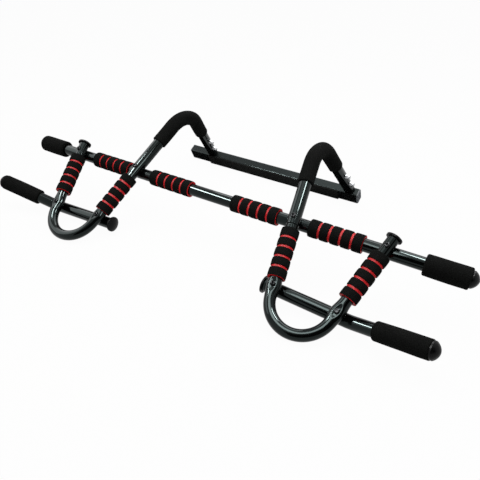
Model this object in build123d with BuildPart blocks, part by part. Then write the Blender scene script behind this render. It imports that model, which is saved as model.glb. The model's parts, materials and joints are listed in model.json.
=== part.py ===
# Doorway pull up bar, lying on its rail and its two looped handles.
# Places are worked out in the handle frame (x along the bar, v towards the rail, w square to
# the loops) and set into the world, whose floor is Z = 0, by the plane called frame.
import os
from math import acos, atan2, cos, degrees, hypot, radians, sin, sqrt, tan

from build123d import *

os.makedirs("parts", exist_ok=True)

# Tubes
main_d = 25.0
handle_d = 22.0
front_d = 25.0
tube_wall = 1.5
sleeve_gap = 0.2
arm_d = handle_d + 2 * (sleeve_gap + tube_wall)
nest_gap = 0.25

# Main bar and where the handles cross it
main_length = 1023.0
loop_plane_height = 18.5
inner_cross_x = 195.0
outer_cross_x = 372.0

# Looped handles
inner_leg_angle = 9.0
outer_leg_angle = 13.5
loop_radius = 58.5
outer_leg_overhang = 20.0
tail_length = 45.0

# Front bars
front_bar_reach = 135.0
front_bar_inner_stub = 24.0
front_bar_bend_start = 20.5
front_bar_bend = 19.8
front_bar_bend_radius = 50.0
front_bar_free_length = 143.0

# Hook arms
arm_sleeve_overlap = 15.0
arm_corner_reach = 184.0
arm_bend_radius = 70.0
hook_depth = 228.0
hook_lean = 8.1
hook_splay = 8.7

# Rear rail and its pad
rail_depth = 22.5
rail_height = 33.0
rail_wall = 1.5
rail_roll = -5.0
rail_corner_radius = 3.0
rail_length = 491.5
rail_offset = -24.0
spigot_length = 84.0
pad_length = 386.0
pad_offset = -18.0
pad_thickness = 3.0
pad_height = 32.0
pad_edge_radius = 1.2

# Foam
foam_gap = 0.1
layer_gap = 0.05
end_grip_d = 39.5
end_grip_length = 75.0
main_grip_d = 35.5
main_grip_length = 105.0
main_grip_outer_x = 277.5
main_grip_inner_x = 105.5
leg_grip_d = 34.8
leg_grip_length = 98.5
outer_leg_grip_reach = 66.8
inner_leg_grip_reach = 74.7
groove_count = 4
groove_width = 4.4
groove_depth = 2.2
core_end = 0.5
core_end_step = 0.6
front_grip_d = 34.5
front_grip_length = 95.0
hook_pad_d = 33.2
hook_pad_front_reach = 76.5
hook_pad_rear_drop = 115.0
foam_edge_radius = 2.5
band_edge_radius = 0.8

# Plastic caps
cap_fit = 0.15
cap_stem = 16.0
handle_cap_stem = 8.0
main_cap_d = 31.0
main_cap_rise = 13.0
front_cap_d = 31.0
front_cap_rise = 12.0
flange_cap_overhang = 4.0
flange_cap_edge = 3.0
flange_cap_rise = 7.0
cap_rim = 2.5
rail_cap_thickness = 3.5
rail_cap_chamfer = 2.0

# Fasteners
bolt_d = 6.0
bolt_gap = 0.3
head_d = 10.5
head_height = 3.3
head_rounding = 2.6
socket_width = 4.0
socket_depth = 1.9
washer_d = 12.0
washer_thickness = 1.2
nut_width = 10.0
nut_height = 6.0
nut_gap = 0.05
bolt_tip = 2.0
cap_nut_hex_height = 4.5
cap_nut_dome_d = 9.4
cap_nut_height = 9.0
dish_radius = 20.0
dish_depth = 2.2
lower_rail_bolt = 37.0
upper_rail_bolt = 73.0

# Slopes of the loop legs and the places that follow from them
inner_slope = tan(radians(inner_leg_angle))
outer_slope = tan(radians(outer_leg_angle))
front_bar_yaw = radians(outer_leg_angle - inner_leg_angle) / 2
loop_height = loop_plane_height
leg_spacing = outer_cross_x - inner_cross_x
loop_width = loop_radius * (1 / cos(radians(inner_leg_angle)) + 1 / cos(radians(outer_leg_angle)))
loop_centre_v = -(leg_spacing - loop_width) / (inner_slope + outer_slope)
loop_front_v = loop_centre_v - loop_radius
loop_corner_v = -leg_spacing / (inner_slope + outer_slope)
front_bar_w = loop_height - (handle_d + front_d) / 2 - nest_gap


def inner_leg(v):
    return (inner_cross_x - inner_slope * v, v, loop_height)


def outer_leg(v):
    return (outer_cross_x + outer_slope * v, v, loop_height)


# The arm's corner, its foot on the rail, and the rail's section in the v, w plane
arm_corner = inner_leg(arm_corner_reach)
foot = (
    arm_corner[0] + hook_depth * tan(radians(hook_splay)),
    arm_corner[1] + hook_depth * tan(radians(hook_lean)),
    loop_height - hook_depth,
)
rail_back = (cos(radians(rail_roll)), sin(radians(rail_roll)))
rail_up = (-rail_back[1], rail_back[0])
rail_v = foot[1] - rail_up[0] * rail_height / 2
rail_w = foot[2] - rail_up[1] * rail_height / 2


def rail_section(back, up):
    v = rail_v + back * rail_back[0] + up * rail_up[0]
    w = rail_w + back * rail_back[1] + up * rail_up[1]
    return v, w


# The tilt at which the two loops and the pad's lower front edge stand on the floor together
pad_front = -rail_depth / 2 - pad_thickness
pad_edge_v, pad_edge_w = rail_section(pad_front + pad_edge_radius, pad_edge_radius - pad_height / 2)
rise = loop_height - pad_edge_w
run = pad_edge_v - loop_front_v
tilt = acos((handle_d / 2 - pad_edge_radius) / hypot(rise, run)) - atan2(run, rise)
floor_w = loop_height * cos(tilt) + loop_front_v * sin(tilt) - handle_d / 2
corner_v, corner_w = rail_section(rail_depth / 2 - rail_corner_radius, rail_corner_radius - rail_height / 2)
front_y = loop_front_v * cos(tilt) - loop_height * sin(tilt) - handle_d / 2
back_y = corner_v * cos(tilt) - corner_w * sin(tilt) + rail_corner_radius
frame = Plane(
    origin=(0, -(front_y + back_y) / 2, -floor_w), x_dir=(1, 0, 0), z_dir=(0, -sin(tilt), cos(tilt))
)
square_up = frame.z_dir


def at(place, side=1):
    return frame.from_local_coords((side * place[0], place[1], place[2]))


def facing(start, end):
    return Plane(origin=start, z_dir=end - start)


def save(part, name):
    part.label = name
    export_step(part, f"parts/{name}.step")


print(f"rests at {degrees(tilt):.2f} degrees, frame origin {frame.origin}")

# Bars and holes that the crossing tubes share
main_axis = at((0, 0, 0))


def crossing_plane(place, side, height):
    return Plane(origin=at((place[0], place[1], height), side), x_dir=(1, 0, 0), z_dir=square_up)


# The front bar's line in the handle frame, measured from the inner leg's bolt
front_bolt_inner = inner_leg(-front_bar_reach)


def front_line(s):
    x = front_bolt_inner[0] + s * cos(front_bar_yaw)
    return (x, -front_bar_reach - s * sin(front_bar_yaw), front_bar_w)


front_bolt_span = (outer_cross_x - outer_slope * front_bar_reach - front_bolt_inner[0]) / (
    cos(front_bar_yaw) + outer_slope * sin(front_bar_yaw)
)
front_bolt_outer = outer_leg(-front_bar_reach - front_bolt_span * sin(front_bar_yaw))
front_corner_s = front_bolt_span + front_bar_bend_start
front_corner = front_line(front_corner_s)


def front_free(s):
    run_out = s * cos(radians(front_bar_bend))
    x, v, w = front_line(front_corner_s + run_out)
    return (x, v, w + s * sin(radians(front_bar_bend)))


def along_leg(leg, angle, s):
    return leg(-s * cos(radians(angle)))


# Places along the arm's rear leg, measured up from its foot
rear_leg_length = sqrt(sum((a - b) ** 2 for a, b in zip(arm_corner, foot)))


def rear_leg(s):
    return tuple(f + (c - f) * s / rear_leg_length for f, c in zip(foot, arm_corner))


# A rail bolt runs square through the leg, as near along the main bar as that allows
def rail_bolt_plane(s, side):
    leg_line = (at(arm_corner, side) - at(foot, side)).normalized()
    along_bar = Vector(1, 0, 0)
    across = along_bar - leg_line * along_bar.dot(leg_line)
    return Plane(origin=at(rear_leg(s), side), x_dir=leg_line, z_dir=across)


rail_top = Plane(
    origin=at((0, foot[1], foot[2])),
    x_dir=(1, 0, 0),
    z_dir=at((0, rail_up[0], rail_up[1])) - main_axis,
)
rail_end = Plane(
    origin=at((rail_offset - rail_length / 2, rail_v, rail_w)),
    x_dir=at((0, rail_back[0], rail_back[1])) - main_axis,
    z_dir=(1, 0, 0),
)
sides = (("left", -1), ("right", 1))
bolt_hole_d = bolt_d + 2 * bolt_gap
through = 4 * main_d

# Main bar: one straight tube, drilled square to the loops at the four crossings
with BuildPart() as main_bar:
    with BuildSketch(Plane(origin=at((-main_length / 2, 0, 0)), z_dir=(1, 0, 0))):
        Circle(main_d / 2)
        Circle(main_d / 2 - tube_wall, mode=Mode.SUBTRACT)
    extrude(amount=main_length)
    main_crossings = [
        crossing_plane((x, 0), side, 0) for x in (inner_cross_x, outer_cross_x) for _, side in sides
    ]
    with BuildSketch(*main_crossings):
        Circle(bolt_hole_d / 2)
    extrude(amount=through / 2, both=True, mode=Mode.SUBTRACT)
save(main_bar.part, "main_bar")


# A dent pressed into a leg's top for a bolt head, with the wall pushed in below it
def dent_wall(place, side, leg_end):
    centre = at((place[0], place[1], loop_height + handle_d / 2 + dish_radius - dish_depth), side)
    leg_plane = facing(at(place, side), leg_end)
    bore = leg_plane * Cylinder(handle_d / 2 - tube_wall / 2, 2 * dish_radius)
    return (Pos(*centre) * Sphere(dish_radius + tube_wall)) & bore


# Looped handles: one bent tube each, notched over the main bar, dented under the front bolts
for name, side in sides:
    tail_end = at(inner_leg(tail_length), side)
    corner = at((inner_leg(loop_corner_v)), side)
    outer_end = at(outer_leg(outer_leg_overhang * cos(radians(outer_leg_angle))), side)
    dents = [dent_wall(front_bolt_inner, side, tail_end), dent_wall(front_bolt_outer, side, outer_end)]
    dish_centre_w = loop_height + handle_d / 2 + dish_radius - dish_depth
    dish_centres = [at((p[0], p[1], dish_centre_w), side) for p in (front_bolt_inner, front_bolt_outer)]
    with BuildPart() as handle:
        with BuildLine() as route:
            FilletPolyline(tail_end, corner, outer_end, radius=loop_radius)
        with BuildSketch(facing(tail_end, corner)):
            Circle(handle_d / 2)
            Circle(handle_d / 2 - tube_wall, mode=Mode.SUBTRACT)
        sweep(path=route.line)
        add(dents)
        with Locations(*dish_centres):
            Sphere(dish_radius, mode=Mode.SUBTRACT)
        dish_floor = loop_height + handle_d / 2 - dish_depth
        front_bolt_places = (front_bolt_inner, front_bolt_outer)
        with BuildSketch(*[crossing_plane(p, side, dish_floor) for p in front_bolt_places]):
            Circle(head_d / 2 + bolt_gap)
        extrude(amount=handle_d / 2, mode=Mode.SUBTRACT)
        with Locations(main_axis):
            Cylinder(main_d / 2 + nest_gap, main_length, rotation=(0, 90, 0), mode=Mode.SUBTRACT)
        hole_places = [(inner_cross_x, 0), (outer_cross_x, 0), front_bolt_inner[:2], front_bolt_outer[:2]]
        with BuildSketch(*[crossing_plane(p, side, loop_height) for p in hole_places]):
            Circle(bolt_hole_d / 2)
        extrude(amount=handle_d, both=True, mode=Mode.SUBTRACT)
    save(handle.part, f"{name}_handle_frame")

# Hook arms: sleeved over the loop's inner tail, bent over the apex, cut flat on the rail
for name, side in sides:
    sleeve_end = at(along_leg(inner_leg, inner_leg_angle, arm_sleeve_overlap), side)
    corner = at(arm_corner, side)
    below_rail = at(rear_leg(-arm_d), side)
    rail_bolt_planes = [rail_bolt_plane(s, side) for s in (lower_rail_bolt, upper_rail_bolt)]
    with BuildPart() as arm:
        with BuildLine() as route:
            FilletPolyline(sleeve_end, corner, below_rail, radius=arm_bend_radius)
        with BuildSketch(facing(sleeve_end, corner)):
            Circle(arm_d / 2)
            Circle(arm_d / 2 - tube_wall, mode=Mode.SUBTRACT)
        sweep(path=route.line)
        split(bisect_by=rail_top, keep=Keep.TOP)
        with Locations(main_axis):
            Cylinder(main_d / 2 + nest_gap, main_length, rotation=(0, 90, 0), mode=Mode.SUBTRACT)
        with BuildSketch(crossing_plane((inner_cross_x, 0), side, loop_height), *rail_bolt_planes):
            Circle(bolt_hole_d / 2)
        extrude(amount=arm_d, both=True, mode=Mode.SUBTRACT)
    save(arm.part, f"{name}_hook_arm")

    # Spigot: a short tube welded to the rail, which the arm's foot slides over
    spigot_top = at(rear_leg(spigot_length), side)
    with BuildPart() as spigot:
        with BuildSketch(facing(below_rail, spigot_top)):
            Circle(handle_d / 2)
            Circle(handle_d / 2 - tube_wall, mode=Mode.SUBTRACT)
        extrude(amount=(spigot_top - below_rail).length)
        split(bisect_by=rail_top, keep=Keep.TOP)
        with BuildSketch(*rail_bolt_planes):
            Circle(bolt_hole_d / 2)
        extrude(amount=arm_d, both=True, mode=Mode.SUBTRACT)
    save(spigot.part, f"{name}_rail_spigot")

# Rear rail: flat rectangular tube, its narrow side under both feet
with BuildPart() as rail:
    with BuildSketch(rail_end):
        RectangleRounded(rail_depth, rail_height, rail_corner_radius)
        RectangleRounded(
            rail_depth - 2 * rail_wall,
            rail_height - 2 * rail_wall,
            rail_corner_radius - rail_wall,
            mode=Mode.SUBTRACT,
        )
    extrude(amount=rail_length)
save(rail.part, "rear_rail")

# Pad: a foam strip stuck to the rail's front face
with BuildPart() as pad:
    with BuildSketch(rail_end.offset(pad_offset - rail_offset + (rail_length - pad_length) / 2)):
        with Locations((-(rail_depth + pad_thickness) / 2, 0)):
            Rectangle(pad_thickness, pad_height)
    extrude(amount=pad_length)
    pad_face = pad.faces().sort_by(Axis(rail_end.origin, rail_end.x_dir))[0]
    fillet(pad_face.edges(), radius=pad_edge_radius)
save(pad.part, "rail_pad")

# Rail end caps: a chamfered plate with a plug inside the tube
plug_depth = rail_depth - 2 * rail_wall - 2 * cap_fit
plug_height = rail_height - 2 * rail_wall - 2 * cap_fit
for name, end, inward in (("left", rail_end, 1), ("right", rail_end.offset(rail_length), -1)):
    with BuildPart() as rail_cap:
        with BuildSketch(end):
            RectangleRounded(rail_depth, rail_height, rail_corner_radius)
        extrude(amount=-inward * rail_cap_thickness)
        outer_face = rail_cap.faces().sort_by(Axis.X)[0 if inward > 0 else -1]
        chamfer(outer_face.edges(), length=rail_cap_chamfer)
        with BuildSketch(end):
            RectangleRounded(plug_depth, plug_height, rail_corner_radius - rail_wall)
        extrude(amount=inward * cap_stem)
    save(rail_cap.part, f"{name}_rail_cap")

# Front bars: bolted under both legs, bent up outside the outer leg
for name, side in sides:
    inner_end = at(front_line(-front_bar_inner_stub), side)
    corner = at(front_corner, side)
    outer_end = at(front_free(front_bar_free_length), side)
    with BuildPart() as front_bar:
        with BuildLine() as route:
            FilletPolyline(inner_end, corner, outer_end, radius=front_bar_bend_radius)
        with BuildSketch(facing(inner_end, corner)):
            Circle(front_d / 2)
            Circle(front_d / 2 - tube_wall, mode=Mode.SUBTRACT)
        sweep(path=route.line)
        front_bolt_places = (front_bolt_inner, front_bolt_outer)
        with BuildSketch(*[crossing_plane(p, side, front_bar_w) for p in front_bolt_places]):
            Circle(bolt_hole_d / 2)
        extrude(amount=front_d, both=True, mode=Mode.SUBTRACT)
    save(front_bar.part, f"{name}_front_bar")


# A round cap: a plug in the tube and a domed head over its end
def round_cap(end, tube_d, head, rim, crown, stem=cap_stem):
    plug = tube_d / 2 - tube_wall - cap_fit
    with BuildPart() as cap:
        with BuildSketch(Plane(origin=end.origin, x_dir=end.x_dir, z_dir=-end.y_dir)):
            with BuildLine():
                Line((0, -stem), (0, crown))
                ThreePointArc((0, crown), (head * 0.55, (rim + 2.5 * crown) / 3.5), (head, rim))
                Line((head, rim), (head, 0))
                Line((head, 0), (plug, 0))
                Line((plug, 0), (plug, -stem))
                Line((plug, -stem), (0, -stem))
            make_face()
        revolve(axis=Axis(end.origin, end.z_dir))
    return cap.part


for name, side in sides:
    main_end = Plane(origin=at((main_length / 2, 0, 0), side), z_dir=(side, 0, 0))
    save(round_cap(main_end, main_d, main_cap_d / 2, cap_rim, main_cap_rise), f"{name}_main_bar_cap")
    leg_end = at(outer_leg(outer_leg_overhang * cos(radians(outer_leg_angle))), side)
    leg_plane = Plane(origin=leg_end, z_dir=leg_end - at(outer_leg(0), side))
    flange = handle_d / 2 + flange_cap_overhang
    leg_cap = round_cap(leg_plane, handle_d, flange, flange_cap_edge, flange_cap_rise, handle_cap_stem)
    save(leg_cap, f"{name}_handle_cap")
    inner_end = at(front_line(-front_bar_inner_stub), side)
    inner_plane = Plane(origin=inner_end, z_dir=inner_end - at(front_line(0), side))
    flange = front_d / 2 + flange_cap_overhang
    inner_cap = round_cap(inner_plane, front_d, flange, flange_cap_edge, flange_cap_rise)
    save(inner_cap, f"{name}_front_bar_inner_cap")
    outer_end = at(front_free(front_bar_free_length), side)
    outer_plane = Plane(origin=outer_end, z_dir=outer_end - at(front_corner, side))
    outer_cap = round_cap(outer_plane, front_d, front_cap_d / 2, cap_rim, front_cap_rise)
    save(outer_cap, f"{name}_front_bar_outer_cap")


# A plain foam sleeve over a straight tube
def foam_sleeve(start, length, tube_d, outer_d):
    with BuildPart() as sleeve:
        with BuildSketch(start):
            Circle(outer_d / 2)
        extrude(amount=length)
        fillet(sleeve.edges(), radius=foam_edge_radius)
        with BuildSketch(start):
            Circle(tube_d / 2 + foam_gap)
        extrude(amount=length, mode=Mode.SUBTRACT)
    return sleeve.part


# A two layer foam sleeve: a red core that shows at both ends, and black bands round it with
# grooves between them
def save_striped_grip(name, start, length, tube_d, outer_d):
    core_radius = outer_d / 2 - groove_depth
    pitch = length / (groove_count + 1)
    grooves = [i * pitch for i in range(1, groove_count + 1)]
    band_starts = [core_end + layer_gap] + [g + groove_width / 2 for g in grooves]
    band_stops = [g - groove_width / 2 for g in grooves] + [length - core_end - layer_gap]
    with BuildPart() as core:
        with BuildSketch(start):
            Circle(core_radius)
        extrude(amount=length)
        with BuildSketch(start, start.offset(length - core_end)):
            Circle(outer_d / 2 - core_end_step)
        extrude(amount=core_end)
        with BuildSketch(start):
            Circle(tube_d / 2 + foam_gap)
        extrude(amount=length, mode=Mode.SUBTRACT)
    save(core.part, f"{name}_core")
    with BuildPart() as bands:
        for band_start, band_stop in zip(band_starts, band_stops):
            with BuildSketch(start.offset(band_start)):
                Circle(outer_d / 2)
            extrude(amount=band_stop - band_start)
        fillet(bands.edges(), radius=band_edge_radius)
        with BuildSketch(start):
            Circle(core_radius + layer_gap)
        extrude(amount=length, mode=Mode.SUBTRACT)
    save(bands.part, f"{name}_bands")


for name, side in sides:
    grip_start = Plane(origin=at((main_length / 2 - end_grip_length, 0, 0), side), z_dir=(side, 0, 0))
    save(foam_sleeve(grip_start, end_grip_length, main_d, end_grip_d), f"{name}_end_grip")
    for place, centre in (("outer", main_grip_outer_x), ("inner", main_grip_inner_x)):
        grip_start = Plane(origin=at((centre - main_grip_length / 2, 0, 0), side), z_dir=(side, 0, 0))
        save_striped_grip(f"{name}_{place}_bar_grip", grip_start, main_grip_length, main_d, main_grip_d)
    for place, leg, angle, reach in (
        ("outer", outer_leg, outer_leg_angle, outer_leg_grip_reach),
        ("inner", inner_leg, inner_leg_angle, inner_leg_grip_reach),
    ):
        near_end = at(along_leg(leg, angle, reach - leg_grip_length / 2), side)
        far_end = at(along_leg(leg, angle, reach + leg_grip_length / 2), side)
        save_striped_grip(
            f"{name}_{place}_leg_grip", facing(near_end, far_end), leg_grip_length, handle_d, leg_grip_d
        )
    front_start = at(front_free(front_bar_free_length - front_grip_length), side)
    front_plane = facing(front_start, at(front_free(front_bar_free_length), side))
    save(foam_sleeve(front_plane, front_grip_length, front_d, front_grip_d), f"{name}_front_grip")

    # Hook pad: thick foam over the arm's bend
    pad_start = at(inner_leg(hook_pad_front_reach), side)
    corner = at(arm_corner, side)
    pad_end = at(rear_leg(rear_leg_length - hook_pad_rear_drop), side)
    with BuildPart() as hook_pad:
        with BuildLine() as route:
            FilletPolyline(pad_start, corner, pad_end, radius=arm_bend_radius)
        with BuildSketch(facing(pad_start, corner)):
            Circle(hook_pad_d / 2)
            Circle(arm_d / 2 + foam_gap, mode=Mode.SUBTRACT)
        sweep(path=route.line)
        pad_rims = hook_pad.faces().filter_by(GeomType.PLANE).edges()
        fillet(pad_rims.filter_by(lambda e: e.radius > arm_d / 2 + 1), radius=foam_edge_radius)
    save(hook_pad.part, f"{name}_hook_pad")


# The faces of a group of fasteners that point the same way as their planes
def facing_out(fasteners, planes):
    return fasteners.faces().filter_by(
        lambda face: any((face.normal_at() - p.z_dir).length < 0.01 for p in planes)
    )


# Button head bolts with hexagon sockets; each plane lies under a head and faces out through it
def button_bolts(planes, reach):
    with BuildPart() as bolts:
        with BuildSketch(*planes):
            Circle(head_d / 2)
        extrude(amount=head_height)
        fillet(facing_out(bolts, planes).edges(), radius=head_rounding)
        with BuildSketch(*[p.offset(head_height) for p in planes]):
            RegularPolygon(socket_width / 2, 6, major_radius=False)
        extrude(amount=-socket_depth, mode=Mode.SUBTRACT)
        with BuildSketch(*planes):
            Circle(bolt_d / 2)
        extrude(amount=-reach)
    return bolts.part


# Saddle washers and hexagon nuts on the far side; each plane touches the tube and faces outwards,
# and its x direction runs along the tube
def washers(planes, tube_d):
    with BuildPart() as rings:
        with BuildSketch(*[p.offset(-tube_d / 4) for p in planes]):
            Circle(washer_d / 2)
            Circle(bolt_hole_d / 2, mode=Mode.SUBTRACT)
        extrude(amount=tube_d / 4 + washer_thickness)
        with BuildSketch(*[Plane(origin=p.offset(-tube_d / 2).origin, z_dir=p.x_dir) for p in planes]):
            Circle(tube_d / 2 + nut_gap)
        extrude(amount=washer_d, both=True, mode=Mode.SUBTRACT)
    return rings.part


def nuts(planes):
    with BuildPart() as hexes:
        with BuildSketch(*planes):
            RegularPolygon(nut_width / 2, 6, major_radius=False)
            Circle(bolt_d / 2 + nut_gap, mode=Mode.SUBTRACT)
        extrude(amount=nut_height)
    return hexes.part


# Each kind of bolt: its places, its head's seat, the far side of the joint, and the far tube
front_run = (at(front_line(1)) - at(front_line(0))).normalized()
mirrored_run = Vector(-front_run.X, front_run.Y, front_run.Z)
front_bar_runs = {1: front_run, -1: mirrored_run}
main_bar_runs = {1: Vector(1, 0, 0), -1: Vector(1, 0, 0)}
bolted = {
    "outer_leg": ([(outer_cross_x, 0)], loop_height + handle_d / 2, -main_d / 2, main_d, main_bar_runs),
    "hook_arm": ([(inner_cross_x, 0)], loop_height + arm_d / 2, -main_d / 2, main_d, main_bar_runs),
    "front_bar": (
        [front_bolt_inner, front_bolt_outer],
        loop_height + handle_d / 2 - dish_depth,
        front_bar_w - front_d / 2,
        front_d,
        front_bar_runs,
    ),
}
for name, (places, seat, far, far_d, runs) in bolted.items():
    heads = [crossing_plane(p, side, seat) for p in places for _, side in sides]
    save(button_bolts(heads, seat - far + washer_thickness + nut_height + bolt_tip), f"{name}_bolts")
    undersides = [
        Plane(origin=at((p[0], p[1], far), side), x_dir=runs[side], z_dir=-square_up)
        for p in places
        for _, side in sides
    ]
    save(washers(undersides, far_d), f"{name}_washers")
    save(nuts([u.offset(washer_thickness) for u in undersides]), f"{name}_nuts")

# Rail bolts run through each foot along the bar, all with their cap nuts towards +X
foot_planes = [rail_bolt_plane(s, side) for s in (lower_rail_bolt, upper_rail_bolt) for _, side in sides]
cap_nut_planes = [p.offset(arm_d / 2) for p in foot_planes]
rail_heads = [Plane(origin=p.offset(-arm_d / 2).origin, z_dir=-p.z_dir) for p in foot_planes]
save(button_bolts(rail_heads, arm_d + washer_thickness + cap_nut_hex_height), "rail_bolts")
save(washers(cap_nut_planes, arm_d), "rail_bolt_washers")
with BuildPart() as cap_nuts:
    nut_seats = [p.offset(washer_thickness) for p in cap_nut_planes]
    with BuildSketch(*nut_seats):
        Circle(cap_nut_dome_d / 2)
    extrude(amount=cap_nut_height)
    fillet(facing_out(cap_nuts, nut_seats).edges(), radius=cap_nut_dome_d * 0.42)
    with BuildSketch(*nut_seats):
        RegularPolygon(nut_width / 2, 6, major_radius=False)
    extrude(amount=cap_nut_hex_height)
    with BuildSketch(*nut_seats):
        Circle(bolt_d / 2 + nut_gap)
    extrude(amount=cap_nut_hex_height + bolt_tip / 2, mode=Mode.SUBTRACT)
save(cap_nuts.part, "rail_cap_nuts")
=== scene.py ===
import json
import math
import bpy
import numpy as np
from mathutils import Matrix, Vector


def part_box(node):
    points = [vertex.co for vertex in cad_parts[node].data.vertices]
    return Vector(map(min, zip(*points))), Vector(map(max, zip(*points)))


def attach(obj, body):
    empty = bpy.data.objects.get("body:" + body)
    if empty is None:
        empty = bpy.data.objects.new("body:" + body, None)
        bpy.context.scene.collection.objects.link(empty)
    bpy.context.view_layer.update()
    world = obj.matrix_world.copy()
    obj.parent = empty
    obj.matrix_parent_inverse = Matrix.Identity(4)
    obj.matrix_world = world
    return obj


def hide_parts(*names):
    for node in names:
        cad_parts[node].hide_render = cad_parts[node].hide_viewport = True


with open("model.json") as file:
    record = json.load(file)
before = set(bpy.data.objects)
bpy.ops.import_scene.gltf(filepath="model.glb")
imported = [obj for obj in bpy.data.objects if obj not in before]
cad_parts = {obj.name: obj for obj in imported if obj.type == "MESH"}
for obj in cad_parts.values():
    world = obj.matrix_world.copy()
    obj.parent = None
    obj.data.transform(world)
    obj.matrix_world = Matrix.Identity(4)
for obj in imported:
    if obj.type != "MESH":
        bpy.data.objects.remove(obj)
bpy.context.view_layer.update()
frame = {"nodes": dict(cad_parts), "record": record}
nodes = frame["nodes"]
slotOf = {row["node"]: row["material_slot"] for row in frame["record"]["subparts"]}
print("frame:", len(nodes), "nodes")


# Shader maths: a wrapped socket takes + and * and gives the Math node's result
class Wire:
    def __init__(self, finish, socket):
        self.finish = finish
        self.socket = socket

    def maths(self, operation, first, second):
        return self.finish.node("ShaderNodeMath", {"operation": operation}, {0: first, 1: second})

    def __add__(self, other):
        return self.maths("ADD", self, other)

    def __radd__(self, other):
        return self.maths("ADD", other, self)

    def __mul__(self, other):
        return self.maths("MULTIPLY", self, other)

    def __rmul__(self, other):
        return self.maths("MULTIPLY", other, self)


# A node tree that is filled through one method
class Finish:
    def __init__(self, owner):
        owner.use_nodes = True
        self.owner = owner
        self.tree = owner.node_tree
        self.tree.nodes.clear()

    def node(self, kind, settings=None, sockets=None, result=0):
        made = self.tree.nodes.new(kind)
        for key, value in (settings or {}).items():
            setattr(made, key, value)
        for key, value in (sockets or {}).items():
            if isinstance(value, Wire):
                self.tree.links.new(value.socket, made.inputs[key])
            else:
                made.inputs[key].default_value = value
        return Wire(self, made.outputs[result]) if made.outputs else made

    def place(self):
        return self.node("ShaderNodeTexCoord", result="Object")

    def noise(self, place, scale, detail, roughness):
        values = {"Vector": place, "Scale": scale, "Detail": detail, "Roughness": roughness}
        return self.node("ShaderNodeTexNoise", {}, values)

    def ramp(self, value, low, high):
        span = {"Value": value, "From Min": low, "From Max": high}
        return self.node("ShaderNodeMapRange", {"clamp": True}, span)

    def blend(self, share, first, second):
        return self.node("ShaderNodeMix", {"data_type": "RGBA"}, {0: share, 6: first, 7: second}, 2)

    def bump(self, height, strength, distance, under=None):
        values = {"Strength": strength, "Distance": distance, "Height": height}
        if under:
            values["Normal"] = under
        return self.node("ShaderNodeBump", {}, values)

    def surface(self, values):
        shader = self.node("ShaderNodeBsdfPrincipled", {}, values)
        self.node("ShaderNodeOutputMaterial", {}, {"Surface": shader})
        return self.owner


def newFinish(name):
    return Finish(bpy.data.materials.new(name))


def grey(level):
    return (level, level, level, 1.0)


# In the looks below, noise is given as scale, detail, roughness, and a span as its low and high limit
# Gunmetal lacquer over steel tube: near black, glossy, with a trace of orange peel and faint marks
lacquerLook = {
    "dark": (0.0013, 0.0015, 0.0015, 1.0),
    "light": (0.0027, 0.0031, 0.0031, 1.0),
    "tint": (0.80, 1.0, 0.98, 1.0),
    "gloss": 0.20,
    "roughLow": 0.075,
    "roughHigh": 0.15,
    "peel": (160.0, 2.0, 0.55),
    "peelStrength": 0.25,
    "peelDepth": 0.000004,
    "cloud": (9.0, 4.0, 0.55),
    "cloudSpan": (0.35, 0.68),
    "cloudShare": 0.3,
    "marks": (26.0, 6.0, 0.7),
    "markSpan": (0.50, 0.75),
    "markShare": 0.7,
}


def makeLacquer(name, look):
    paint = newFinish(name)
    place = paint.place()
    cloud = paint.noise(place, *look["cloud"])
    marks = paint.ramp(paint.noise(place, *look["marks"]), *look["markSpan"])
    tone = paint.ramp(cloud, *look["cloudSpan"])
    wear = marks * look["markShare"] + tone * look["cloudShare"]
    rough = look["roughLow"] + (look["roughHigh"] - look["roughLow"]) * wear
    peel = paint.noise(place, *look["peel"])
    return paint.surface({
        "Base Color": paint.blend(tone, look["dark"], look["light"]),
        "Roughness": rough,
        "Specular IOR Level": look["gloss"],
        "Specular Tint": look["tint"],
        "Normal": paint.bump(peel, look["peelStrength"], look["peelDepth"]),
    })


# Closed cell foam: matt, with open cut cells and a soft unevenness under them
foamGrain = {
    "cellScale": 750.0,
    "cellSpan": (0.15, 0.75),
    "cellStrength": 0.7,
    "fine": (1400.0, 3.0, 0.55),
    "lumps": (60.0, 3.0, 0.55),
    "lumpStrength": 0.5,
    "cellTone": 0.55,
    "fineTone": 0.25,
    "lumpTone": 0.20,
    "toneSpan": (0.2, 0.75),
    "cellRelief": 0.7,
    "fineRelief": 0.3,
}
blackFoamLook = {
    **foamGrain,
    "dark": (0.0025, 0.0026, 0.0024, 1.0),
    "light": (0.0078, 0.0081, 0.0076, 1.0),
    "gloss": 0.015,
    "roughLow": 0.70,
    "roughHigh": 0.95,
    "cellDepth": 0.00030,
    "lumpDepth": 0.0006,
}
redFoamLook = {
    **foamGrain,
    "dark": (0.54, 0.010, 0.013, 1.0),
    "light": (0.76, 0.018, 0.023, 1.0),
    "gloss": 0.11,
    "roughLow": 0.40,
    "roughHigh": 0.60,
    "cellDepth": 0.00022,
    "lumpDepth": 0.0004,
}


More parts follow.
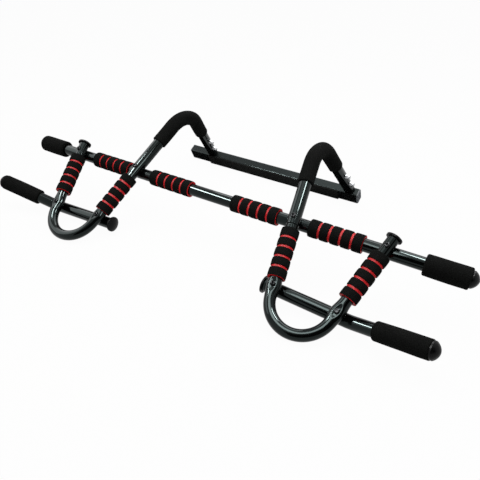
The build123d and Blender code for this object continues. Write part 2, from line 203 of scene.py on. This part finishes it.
def makeFoam(name, look):
    foam = newFinish(name)
    place = foam.place()
    spread = {"Vector": place, "Scale": look["cellScale"]}
    cells = foam.node("ShaderNodeTexVoronoi", {"feature": "F1"}, spread)
    pores = foam.ramp(cells, *look["cellSpan"])
    fine = foam.noise(place, *look["fine"])
    lumps = foam.noise(place, *look["lumps"])
    tone = pores * look["cellTone"] + fine * look["fineTone"] + lumps * look["lumpTone"]
    shade = foam.ramp(tone, *look["toneSpan"])
    soft = foam.bump(lumps, look["lumpStrength"], look["lumpDepth"])
    height = pores * look["cellRelief"] + fine * look["fineRelief"]
    relief = foam.bump(height, look["cellStrength"], look["cellDepth"], soft)
    return foam.surface({
        "Base Color": foam.blend(shade, look["dark"], look["light"]),
        "Roughness": look["roughLow"] + (look["roughHigh"] - look["roughLow"]) * fine,
        "Specular IOR Level": look["gloss"],
        "Normal": relief,
    })


# Moulded plastic caps: semi-gloss, finely textured
plasticGrain = {
    "grain": (900.0, 2.0, 0.55),
    "grainStrength": 0.35,
    "grainSpan": (0.3, 0.7),
    "grainShare": 0.3,
    "flow": (45.0, 4.0, 0.55),
    "flowShare": 0.7,
}
capLook = {
    **plasticGrain,
    "dark": (0.0016, 0.0017, 0.0018, 1.0),
    "light": (0.0040, 0.0042, 0.0045, 1.0),
    "gloss": 0.10,
    "roughLow": 0.22,
    "roughHigh": 0.38,
    "grainDepth": 0.00006,
}
railCapLook = {
    **plasticGrain,
    "dark": (0.105, 0.118, 0.126, 1.0),
    "light": (0.180, 0.196, 0.208, 1.0),
    "gloss": 0.40,
    "roughLow": 0.22,
    "roughHigh": 0.40,
    "grainDepth": 0.00005,
}


def makePlastic(name, look):
    plastic = newFinish(name)
    place = plastic.place()
    grain = plastic.noise(place, *look["grain"])
    flow = plastic.noise(place, *look["flow"])
    tone = plastic.ramp(flow * look["flowShare"] + grain * look["grainShare"], *look["grainSpan"])
    frost = plastic.ramp(grain, *look["grainSpan"])
    return plastic.surface({
        "Base Color": plastic.blend(tone, look["dark"], look["light"]),
        "Roughness": look["roughLow"] + (look["roughHigh"] - look["roughLow"]) * frost,
        "Specular IOR Level": look["gloss"],
        "Normal": plastic.bump(grain, look["grainStrength"], look["grainDepth"]),
    })


# Dark plated fasteners, with turning marks and a little dullness
platingLook = {
    "dark": (0.006, 0.0063, 0.0066, 1.0),
    "light": (0.018, 0.0187, 0.0194, 1.0),
    "roughLow": 0.04,
    "roughHigh": 0.13,
    "dull": (160.0, 5.0, 0.65),
    "dullSpan": (0.35, 0.65),
    "turned": (1500.0, 2.0, 0.55),
    "turnStrength": 0.3,
    "turnDepth": 0.00002,
}


def makePlating(name, look):
    plate = newFinish(name)
    place = plate.place()
    dull = plate.noise(place, *look["dull"])
    turned = plate.noise(place, *look["turned"])
    return plate.surface({
        "Base Color": plate.blend(plate.ramp(dull, *look["dullSpan"]), look["dark"], look["light"]),
        "Metallic": 1.0,
        "Roughness": look["roughLow"] + (look["roughHigh"] - look["roughLow"]) * dull,
        "Normal": plate.bump(turned, look["turnStrength"], look["turnDepth"]),
    })


finishes = {
    "tube_steel": makeLacquer("gunmetalLacquer", lacquerLook),
    "black_foam": makeFoam("blackFoam", blackFoamLook),
    "red_foam": makeFoam("redFoam", redFoamLook),
    "cap_plastic": makePlastic("blackCapPlastic", capLook),
    "rail_cap_plastic": makePlastic("greyRailCapPlastic", railCapLook),
    "fastener_steel": makePlating("platedSteel", platingLook),
}

# The rail's nuts are brighter; the rail is duller than the other tubes, with a paler base colour that is
# painted light on its shaded front ends; and its pad is paler than other foam, painted light that lifts it
# out of its shade
nutLook = {
    **platingLook,
    "dark": (0.42, 0.43, 0.44, 1.0),
    "light": (0.60, 0.61, 0.62, 1.0),
    "roughLow": 0.22,
    "roughHigh": 0.38,
}
# Painted light: the rail's base colour is paler than the tubes' to lift its shaded front ends; its higher
# roughness is its own duller finish
railDullAndPaintedLightLook = {
    **lacquerLook,
    "dark": (0.0050, 0.0056, 0.0056, 1.0),
    "light": (0.0085, 0.0094, 0.0094, 1.0),
    "roughLow": 0.24,
    "roughHigh": 0.36,
    "peelDepth": 0.000001,
}
# Painted light: a paler copy of the black foam that lifts the pad out of the shade it sits in
padPaintedLightLook = {
    **blackFoamLook,
    "dark": (0.0060, 0.0062, 0.0059, 1.0),
    "light": (0.0170, 0.0175, 0.0166, 1.0),
}
brightNut = makePlating("brightNut", nutLook)
special = {node: brightNut for node in ("rail_cap_nuts", "rail_bolt_washers", "rail_bolts")}
special["rear_rail"] = makeLacquer("railLacquerDullAndPaintedLight", railDullAndPaintedLightLook)
special["rail_pad"] = makeFoam("padFoamPaintedLight", padPaintedLightLook)


def finishOf(node):
    return special.get(node, finishes[slotOf[node]])


for name, piece in nodes.items():
    piece.data.materials.clear()
    piece.data.materials.append(finishOf(name))
print("finishes done")


# A new mesh piece that stands for one CAD node and takes its place, body and finish
def addPiece(name, points, faces, node):
    mesh = bpy.data.meshes.new(name)
    mesh.from_pydata([tuple(p) for p in points], [], faces)
    mesh.validate()
    mesh.shade_smooth()
    piece = bpy.data.objects.new(name, mesh)
    bpy.context.scene.collection.objects.link(piece)
    mesh.materials.append(finishOf(node))
    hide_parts(node)
    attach(piece, "root")


# The points of a node's CAD mesh, and the middle of its box
def meshPoints(node):
    mesh = nodes[node].data
    flat = np.empty(len(mesh.vertices) * 3)
    mesh.vertices.foreach_get("co", flat)
    return flat.reshape(-1, 3)


def boxMiddle(node):
    low, high = (np.array(corner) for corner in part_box(node))
    return (low + high) / 2


# The axis, ends and radii of a straight sleeve, read from its CAD mesh
def measureSleeve(node):
    points, middle = meshPoints(node), boxMiddle(node)
    spread = points - points.mean(axis=0)
    axis = np.linalg.eigh(spread.T @ spread)[1][:, -1]
    along = (points - middle) @ axis
    radii = np.linalg.norm((points - middle) - np.outer(along, axis), axis=1)
    return middle, axis, along.min(), along.max(), radii.min(), radii.max()


# Frames along a straight sleeve: centre and two sides at any length
def straightRun(middle, axis, steepest=0.9):
    side = np.cross(axis, (0.0, 0.0, 1.0) if abs(axis[2]) < steepest else (1.0, 0.0, 0.0))
    side /= np.linalg.norm(side)
    other = np.cross(axis, side)
    return lambda along: (middle + axis * along, side, other)


# Frames along a run with one bend; the first side is square to the bend, the second points into it
def bentRun(start, corner, end, radius):
    start, corner, end = (np.array(p, dtype=float) for p in (start, corner, end))
    back, onward = start - corner, end - corner
    front, rear = np.linalg.norm(back), np.linalg.norm(onward)
    back, onward = back / front, onward / rear
    turn = math.pi - math.acos(float(back @ onward))
    cut = radius * math.tan(turn / 2)
    square = np.cross(back, onward)
    square /= np.linalg.norm(square)
    inward = np.cross(-back, square)
    inward *= math.copysign(1.0, float(inward @ onward))
    centre = corner + back * cut + inward * radius
    first, arc = front - cut, radius * turn

    def at(along):
        if along < first:
            return start - back * along, square, inward
        if along > first + arc:
            tip = inward * math.cos(turn) + back * math.sin(turn)
            return corner + onward * (cut + along - first - arc), square, tip
        bent = (along - first) / radius
        tip = inward * math.cos(bent) + back * math.sin(bent)
        return centre - tip * radius, square, tip

    return at, first, arc, first + arc + rear - cut


# Faces that join rings of points, one after another, and the last to the first where they close
def stitchRings(rings, count, closed):
    faces = []
    for i in range(rings if closed else rings - 1):
        here, after = i * count, (i + 1) % rings * count
        for j in range(count):
            k = (j + 1) % count
            faces.append((here + j, here + k, after + k, after + j))
    return faces


# The foam's two waves of unevenness, as waves to a turn and their rate along it, and how strongly the waves
# swing the wobble
foamWaves = {"slow": (3, 55), "quick": (5, 83), "share": 0.5}


# A closed ring of profile points carried round a run; give is how far a point follows the unevenness
def turnProfile(run, profile, steps, wobble=0.0, seed=0.0, swell=None):
    frames = {along: run(along) for along, radius, give in profile}
    (slowTurns, slowRate), (quickTurns, quickRate) = foamWaves["slow"], foamWaves["quick"]
    points = []
    for i in range(steps):
        turn = 2 * math.pi * i / steps
        for along, radius, give in profile:
            centre, side, other = frames[along]
            out = side * math.cos(turn) + other * math.sin(turn)
            wave = math.sin(slowTurns * turn + seed + slowRate * along)
            wave += math.sin(quickTurns * turn - 2 * seed - quickRate * along)
            extra = swell(along, turn) * give if swell else 0.0
            points.append(centre + out * (radius + extra - give * wobble * (1 + foamWaves["share"] * wave)))
    return points, stitchRings(steps, len(profile), True)


# Profile of a sleeve from start to end: a rounded outer edge at each end, a slight crown, straight bore
sleeveShape = {"endSteps": 8, "faceGive": 0.1, "edgeGive": 0.4, "crownPower": 4}


def sleeveProfile(start, end, bore, radius, edges, crown, steps):
    rounding = [math.pi / 2 * i / sleeveShape["endSteps"] for i in range(sleeveShape["endSteps"] + 1)]
    faceGive, edgeGive = sleeveShape["faceGive"], sleeveShape["edgeGive"]
    first, last = edges
    face = (bore + radius - max(edges)) / 2
    profile = [(start, bore, 0.0), (start, face, faceGive)]
    for turn in rounding:
        rim = radius - crown - first * (1 - math.sin(turn))
        profile.append((start + first * (1 - math.cos(turn)), rim, edgeGive))
    for i in range(1, steps):
        share = i / steps
        along = start + first + (end - start - first - last) * share
        profile.append((along, radius - crown * (2 * share - 1) ** sleeveShape["crownPower"], 1.0))
    for turn in rounding[::-1]:
        rim = radius - crown - last * (1 - math.sin(turn))
        profile.append((end - last * (1 - math.cos(turn)), rim, edgeGive))
    profile += [(end, face, faceGive), (end, bore, 0.0)]
    profile += [(end + (start - end) * i / steps, bore, 0.0) for i in range(1, steps)]
    return profile


# Plain foam sleeves on the bar's ends and the front bars
plainSleeve = {"edge": 0.0032, "crown": 0.0003, "wobble": 0.00022, "seed": 1.7, "steps": 26, "turns": 96}
for number, node in enumerate(n for n in nodes if n.endswith(("_end_grip", "_front_grip"))):
    middle, axis, start, end, bore, radius = measureSleeve(node)
    edges = (plainSleeve["edge"], plainSleeve["edge"])
    profile = sleeveProfile(start, end, bore, radius, edges, plainSleeve["crown"], plainSleeve["steps"])
    run = straightRun(middle, axis)
    seed = plainSleeve["seed"] * number
    points, faces = turnProfile(run, profile, plainSleeve["turns"], plainSleeve["wobble"], seed)
    addPiece(node + "_foam", points, faces, node)
print("plain sleeves done")

# Ribbed grips: five black bands stand proud of a red core that shows in the grooves and at the ends
ribbedGrip = {
    "bands": 5,
    "groove": 0.0044,
    "inset": 0.00055,
    "edge": 0.0011,
    "endEdge": 0.0003,
    "crown": 0.0004,
    "wobble": 0.00012,
    "gripSeed": 0.9,
    "bandSeed": 2.3,
    "steps": 8,
    "turns": 88,
    "lipThick": 0.0005,
    "lipStep": 0.0006,
    "lipSink": 0.0004,
    "lipSoft": 0.0002,
    "grooveDepth": 0.0022,
    "coreSteps": 30,
}
for number, node in enumerate(n for n in nodes if n.endswith("_bands")):
    middle, axis, start, end, bore, radius = measureSleeve(node)
    inset, half = ribbedGrip["inset"], ribbedGrip["groove"] / 2
    pitch = (end - start + 2 * inset) / ribbedGrip["bands"]
    run = straightRun(middle, axis)
    points, faces = [], []
    for band in range(ribbedGrip["bands"]):
        low = start - inset + band * pitch + half if band else start
        high = start - inset + (band + 1) * pitch - half if band + 1 < ribbedGrip["bands"] else end
        edges = [ribbedGrip["edge"], ribbedGrip["edge"]]
        if low == start:
            edges[0] = ribbedGrip["endEdge"]
        if high == end:
            edges[1] = ribbedGrip["endEdge"]
        profile = sleeveProfile(low, high, bore, radius, edges, ribbedGrip["crown"], ribbedGrip["steps"])
        seed = ribbedGrip["gripSeed"] * number + ribbedGrip["bandSeed"] * band
        ringPoints, ringFaces = turnProfile(run, profile, ribbedGrip["turns"], ribbedGrip["wobble"], seed)
        faces += [tuple(i + len(points) for i in face) for face in ringFaces]
        points += ringPoints
    addPiece(node + "_foam", points, faces, node)
for node in [n for n in nodes if n.endswith("_core")]:
    middle, axis, start, end, bore, lip = measureSleeve(node)
    waist = lip - ribbedGrip["grooveDepth"] + ribbedGrip["lipStep"]
    thick, soft, steps = ribbedGrip["lipThick"], ribbedGrip["lipSoft"], ribbedGrip["coreSteps"]
    start, end, lip = start + thick, end - thick, lip - ribbedGrip["lipSink"]
    profile = [(start, bore, 0.0), (start, lip - soft, 0.0)]
    profile += [(start + soft, lip, 0.0), (start + thick, lip, 0.0)]
    span = end - start - 2 * thick
    profile += [(start + thick + span * i / steps, waist, 0.0) for i in range(steps + 1)]
    profile += [(end - thick, lip, 0.0), (end - soft, lip, 0.0)]
    profile += [(end, lip - soft, 0.0), (end, bore, 0.0)]
    profile += [(end + (start - end) * i / steps, bore, 0.0) for i in range(1, steps)]
    points, faces = turnProfile(straightRun(middle, axis), profile, ribbedGrip["turns"])
    addPiece(node + "_foam", points, faces, node)
print("ribbed grips done")

# Thick sleeves over the hook arms' bends: stretched thin outside, bunched with soft folds inside
hookPad = {
    "start": (0.182884, -0.006191, 0.156697),
    "corner": (0.165857, 0.085557, 0.212720),
    "end": (0.183083, 0.157894, 0.124994),
    "bend": 0.070,
    "bore": 0.0129,
    "radius": 0.0166,
    "edge": 0.0030,
    "crown": 0.0002,
    "wobble": 0.00030,
    "stretch": 0.0004,
    "bunch": 0.0007,
    "fold": 0.0005,
    "folds": 5,
    "creasePower": 3,
    "spread": 0.36,
    "seed": 2.1,
    "turns": 96,
    "steps": 150,
}


def addHookPad(node, side, look):
    spine = [(side * look[k][0],) + look[k][1:] for k in ("start", "corner", "end")]
    run, first, arc, length = bentRun(*spine, look["bend"])

    def swell(along, turn):
        share = (along - first) / arc
        bent = math.exp(-((share - 0.5) / look["spread"]) ** 2)
        inside = math.sin(turn)
        crease = math.cos(2 * math.pi * look["folds"] * (share - 0.5))
        crease *= max(0.0, inside) ** look["creasePower"]
        bulge = look["bunch"] * max(0.0, inside) - look["stretch"] * max(0.0, -inside)
        return bent * (bulge - look["fold"] * crease)

    edges = (look["edge"], look["edge"])
    profile = sleeveProfile(0.0, length, look["bore"], look["radius"], edges, look["crown"], look["steps"])
    points, faces = turnProfile(run, profile, look["turns"], look["wobble"], look["seed"] + side, swell)
    addPiece(node + "_foam", points, faces, node)


addHookPad("left_hook_pad", -1, hookPad)
addHookPad("right_hook_pad", 1, hookPad)
print("hook pads done")

# Strip pad on the rail: a flat back, a soft crowned face and rounded ends
stripPad = {
    "round": 0.0011,
    "roundSteps": 6,
    "crown": 0.0003,
    "crownPower": 4,
    "wave": 0.00012,
    "waveRates": (61, 143),
    "wavePhase": 1.0,
    "steps": 120,
    "across": 24,
}


def addStripPad(node, look):
    cloud, middle = meshPoints(node), boxMiddle(node)
    axes = np.linalg.eigh((cloud - middle).T @ (cloud - middle))[1]
    out, rise, run = axes[:, 0], axes[:, 1], axes[:, 2]
    out = out * math.copysign(1.0, float(out @ (middle - boxMiddle("rear_rail"))))
    reach = [float(np.abs((cloud - middle) @ axis).max()) for axis in (out, rise, run)]
    soft, corner, steps = look["round"], look["roundSteps"], look["steps"]
    slow, quick = look["waveRates"]
    points = []
    ends = [soft * (1 - math.cos(math.pi / 2 * i / corner)) for i in range(corner + 1)]
    stations = [-reach[2] + e for e in ends]
    stations += [-reach[2] + soft + (2 * reach[2] - 2 * soft) * i / steps for i in range(1, steps)]
    stations += [reach[2] - e for e in ends[::-1]]
    for along in stations:
        near = max(0.0, soft - (reach[2] - abs(along)))
        drop = soft - math.sqrt(max(0.0, soft * soft - near * near))
        wave = look["wave"] * (math.sin(slow * along) + math.sin(quick * along + look["wavePhase"]))
        half = reach[1] - drop
        ring = [(-half, -reach[0]), (-half, reach[0] - soft - drop)]
        for i in range(1, corner + 1):
            turn = math.pi / 2 * i / corner
            sideways = -half + soft * (1 - math.cos(turn))
            ring.append((sideways, reach[0] - drop - soft * (1 - math.sin(turn))))
        for i in range(1, look["across"]):
            share = 2 * i / look["across"] - 1
            lift = -look["crown"] * share ** look["crownPower"] + wave * (1 - share * share)
            ring.append(((half - soft) * share, reach[0] - drop + min(0.0, lift)))
        ring += [(-across, up) for across, up in ring[1:corner + 1][::-1]] + [(half, -reach[0])]
        points += [middle + run * along + rise * across + out * up for across, up in ring]
    count = len(ring)
    faces = stitchRings(len(stations), count, False)
    last = (len(stations) - 1) * count
    faces += [tuple(range(count))[::-1], tuple(last + j for j in range(count))]
    addPiece(node + "_foam", points, faces, node)


addStripPad("rail_pad", stripPad)
print("rail pad done")

# Looped handles: a bent tube each, squeezed wide and dished under its front bolts, saddled on the main bar
handleLoop = {
    "tilt": 31.4085,
    "origin": (0.0, -0.061841, 0.101041),
    "height": 0.0185,
    "innerX": 0.195,
    "outerX": 0.372,
    "innerAngle": 9.0,
    "outerAngle": 13.5,
    "bend": 0.0585,
    "tail": 0.045,
    "overhang": 0.0194,
    "tube": 0.011,
    "wall": 0.0015,
    "mainBar": 0.01275,
    "boreDepth": 0.010,
    "boltReach": (0.135, 0.1398),
    "boltZone": 0.05,
    "bulge": 0.0030,
    "bulgeReach": 0.014,
    "bulgeLeast": 0.01,
    "dish": 0.0022,
    "dishAcross": 0.018,
    "dishAlong": 0.050,
    "blend": 0.00025,
    "blendSpan": 30.0,
    "turns": 80,
    "pitch": 0.0011,
}


def addLoop(node, side, look):
    tilt = math.radians(look["tilt"])
    across = np.array((0.0, math.cos(tilt), math.sin(tilt)))
    above = np.array((0.0, -math.sin(tilt), math.cos(tilt)))
    base = np.array(look["origin"]) + above * look["height"]
    slopes = (-math.tan(math.radians(look["innerAngle"])), math.tan(math.radians(look["outerAngle"])))
    starts = (look["innerX"], look["outerX"])

    def onLeg(leg, v):
        return base + across * v + np.array((side * (starts[leg] + slopes[leg] * v), 0.0, 0.0))

    meet = -(starts[1] - starts[0]) / (slopes[1] - slopes[0])
    spine = (onLeg(1, look["overhang"]), onLeg(1, meet), onLeg(0, look["tail"]))
    run, _, _, length = bentRun(*spine, look["bend"])
    bolts = [onLeg(leg, -look["boltReach"][leg]) for leg in (0, 1)]
    rings = int(length / look["pitch"])
    points = []
    for i in range(rings + 1):
        centre, square, inward = run(length * i / rings)
        up = square * math.copysign(1.0, float(square @ above))
        forward = np.cross(up, inward)
        for j in range(look["turns"]):
            turn = 2 * math.pi * j / look["turns"]
            wide, high = look["tube"] * math.sin(turn), look["tube"] * math.cos(turn)
            for bolt in bolts:
                away = float((centre - bolt) @ forward)
                near = math.exp(-((away / look["bulgeReach"]) ** 2))
                near *= np.linalg.norm(centre - bolt) < look["boltZone"]
                wide += look["bulge"] * near * math.sin(turn)
                if near > look["bulgeLeast"]:
                    floor = look["tube"] - look["dish"]
                    floor += wide ** 2 / (2 * look["dishAcross"]) + away ** 2 / (2 * look["dishAlong"])
                    gap = min(look["blendSpan"], max(-look["blendSpan"], (high - floor) / look["blend"]))
                    high = high - look["blend"] * math.log1p(math.exp(gap))
            point = centre + inward * wide + up * high
            v, w = float((point - base) @ across), float((point - base) @ above) + look["height"]
            if v * v + w * w < look["mainBar"] ** 2:
                point = point + above * (math.sqrt(look["mainBar"] ** 2 - v * v) - w)
            points.append(point)
    count = look["turns"]
    faces = stitchRings(rings + 1, count, False)
    for ring, turned in ((0, True), (rings, False)):
        centre, square, inward = run(length * ring / rings)
        inner = len(points)
        up = square * math.copysign(1.0, float(square @ above))
        bore = look["tube"] - look["wall"]
        forward = np.cross(up, inward) * (1 if turned else -1)
        depth = look["boreDepth"] * math.copysign(1.0, float(forward @ (run(length / 2)[0] - centre)))
        for sink in (0.0, depth):
            for j in range(count):
                turn = 2 * math.pi * j / count
                lip = inward * bore * math.sin(turn) + up * bore * math.cos(turn)
                points.append(centre + lip + forward * sink)
        for j in range(count):
            k = (j + 1) % count
            rim = (ring * count + j, ring * count + k, inner + k, inner + j)
            wall = (inner + j, inner + k, inner + count + k, inner + count + j)
            faces += [rim[::-1], wall[::-1]] if turned else [rim, wall]
        bottom = tuple(inner + count + j for j in range(count))
        faces.append(bottom[::-1] if turned else bottom)
    addPiece(node + "_tube", points, faces, node)


addLoop("left_handle_frame", -1, handleLoop)
addLoop("right_handle_frame", 1, handleLoop)
print("looped handles done")

# Camera at the photograph's place
cameraLook = {
    "place": (0.4955, -0.7572, 0.5938),
    "azimuth": 31.536,
    "elevation": 35.403,
    "roll": 0.158,
    "lens": 35.0775,
    "sensor": 36.0,
    "clip": 0.01,
}


def addCamera(look):
    turn, rise, roll = (math.radians(look[k]) for k in ("azimuth", "elevation", "roll"))
    back = Vector((math.sin(turn) * math.cos(rise), -math.cos(turn) * math.cos(rise), math.sin(rise)))
    right = Vector((math.cos(turn), math.sin(turn), 0.0))
    up = back.cross(right)
    tiltedRight = right * math.cos(roll) + up * math.sin(roll)
    tiltedUp = up * math.cos(roll) - right * math.sin(roll)
    lens = bpy.data.cameras.new("photoCamera")
    lens.lens = look["lens"]
    lens.sensor_width = look["sensor"]
    lens.clip_start = look["clip"]
    camera = bpy.data.objects.new("photoCamera", lens)
    turned = Matrix((tiltedRight, tiltedUp, back)).transposed().to_4x4()
    camera.matrix_world = Matrix.Translation(look["place"]) @ turned
    bpy.context.scene.collection.objects.link(camera)
    bpy.context.scene.camera = camera


addCamera(cameraLook)

# Floor and sky: white to the eye and in reflections, plain soft light for everything else
stageLook = {"floor": 0.82, "lift": 0.965, "ambient": 0.30, "size": 14.0, "drop": 0.0005}


def seenDirectly(finish):
    rays = "ShaderNodeLightPath"
    seen = finish.node(rays, result="Is Camera Ray") + finish.node(rays, result="Is Glossy Ray")
    seen = seen + finish.node(rays, result="Is Transmission Ray")
    return finish.node("ShaderNodeMath", {"operation": "MINIMUM"}, {0: seen, 1: 1.0})


def addStage(look):
    half = look["size"] / 2
    mesh = bpy.data.meshes.new("floor")
    corners = [(-half, -half, 0), (half, -half, 0), (half, half, 0), (-half, half, 0)]
    mesh.from_pydata(corners, [], [(0, 1, 2, 3)])
    floor = bpy.data.objects.new("floor", mesh)
    floor.location.z = -look["drop"]
    bpy.context.scene.collection.objects.link(floor)
    paper = newFinish("paperFloor")
    matt = paper.node("ShaderNodeBsdfDiffuse", {}, {"Color": grey(look["floor"])})
    glow = paper.node("ShaderNodeEmission", {}, {"Color": grey(1.0), "Strength": 1.0})
    share = seenDirectly(paper) * look["lift"]
    mixed = paper.node("ShaderNodeMixShader", {}, {0: share, 1: matt, 2: glow})
    paper.node("ShaderNodeOutputMaterial", {}, {"Surface": mixed})
    mesh.materials.append(paper.owner)
    world = bpy.data.worlds.new("studio")
    bpy.context.scene.world = world
    sky = Finish(world)
    plain = sky.node("ShaderNodeBackground", {}, {"Color": grey(1.0), "Strength": look["ambient"]})
    white = sky.node("ShaderNodeBackground", {}, {"Color": grey(1.0), "Strength": 1.0})
    both = sky.node("ShaderNodeMixShader", {}, {0: seenDirectly(sky), 1: plain, 2: white})
    sky.node("ShaderNodeOutputWorld", {}, {"Surface": both})


addStage(stageLook)

# Dark cards, seen only in reflections: one behind the camera, and one on the floor by each foot of the
# arms, which is painted shade standing in for the floor's shade beside the rail
cardLook = {"place": (1.05, -1.60, 1.15), "aim": (0.0, 0.0, 0.1), "width": 3.8, "height": 2.0, "tone": 0.01}
paintedFloorShade = {"leftFootCard": (-0.34, -0.165, 0.08, 0.36), "rightFootCard": (0.09, 0.262, 0.08, 0.36)}


def addCard(name, corners, tone):
    mesh = bpy.data.meshes.new(name)
    mesh.from_pydata(corners, [], [(0, 1, 2, 3)])
    card = bpy.data.objects.new(name, mesh)
    bpy.context.scene.collection.objects.link(card)
    cloth = newFinish(name)
    matt = cloth.node("ShaderNodeBsdfDiffuse", {}, {"Color": grey(tone)})
    cloth.node("ShaderNodeOutputMaterial", {}, {"Surface": matt})
    mesh.materials.append(cloth.owner)
    card.visible_camera = False
    card.visible_diffuse = False
    card.visible_shadow = False


def standingCard(look):
    middle = Vector(look["place"])
    facing = (Vector(look["aim"]) - middle).normalized()
    side = facing.cross(Vector((0.0, 0.0, 1.0))).normalized()
    up = side.cross(facing)
    turns = ((-1, -1), (1, -1), (1, 1), (-1, 1))
    return [middle + side * (i * look["width"] / 2) + up * (j * look["height"] / 2) for i, j in turns]


addCard("darkCard", standingCard(cardLook), cardLook["tone"])
# The floor cards are painted shade: dark sheets where the floor lies in shade by the feet, seen only in
# reflections
for name, (left, right, front, back) in paintedFloorShade.items():
    flat = [(left, front, 0.0), (right, front, 0.0), (right, back, 0.0), (left, back, 0.0)]
    addCard(name, flat, cardLook["tone"])

# Soft boxes give the plain light and gleams are seen in the gloss: place, aim, width, length, power
softBoxes = {
    "softTop": ((-0.3, -0.2, 1.8), (0.0, 0.0, 0.1), 1.6, 1.6, 18.0),
    "softSide": ((1.1, 0.5, 1.5), (0.0, 0.0, 0.1), 1.0, 1.0, 8.0),
}
gleams = {
    "leftGleam": ((-0.35, -0.30, 0.66), (0.0, 0.0, 0.1), 0.10, 0.31, 10.8),
    "loopGleam": ((0.22, -0.30, 0.50), (0.24, -0.20, 0.0), 0.25, 0.25, 2.6),
    "rightGleam": ((0.40, 0.10, 0.72), (0.1, -0.1, 0.1), 0.11, 0.30, 9.0),
    "leftPanel": ((-1.84, -0.32, 1.27), (0.0, 0.0, 0.1), 1.2, 2.6, 30.0),
    "backPanel": ((0.0, 1.69, 1.51), (0.0, 0.0, 0.1), 1.2, 2.6, 45.0),
    "topPanel": ((-0.2, 0.1, 2.2), (0.0, 0.0, 0.1), 1.4, 1.4, 12.0),
}
for group, glossy in ((softBoxes, False), (gleams, True)):
    for name, (place, aim, width, length, power) in group.items():
        light = bpy.data.lights.new(name, "AREA")
        light.shape = "RECTANGLE"
        light.size = length
        light.size_y = width
        light.energy = power
        lamp = bpy.data.objects.new(name, light)
        lamp.location = place
        lamp.rotation_euler = (Vector(aim) - Vector(place)).to_track_quat("-Z", "Y").to_euler()
        lamp.visible_camera = False
        lamp.visible_diffuse = not glossy
        lamp.visible_glossy = glossy
        bpy.context.scene.collection.objects.link(lamp)
print("stage and lamps done")

bpy.context.scene.view_settings.view_transform = "Standard"
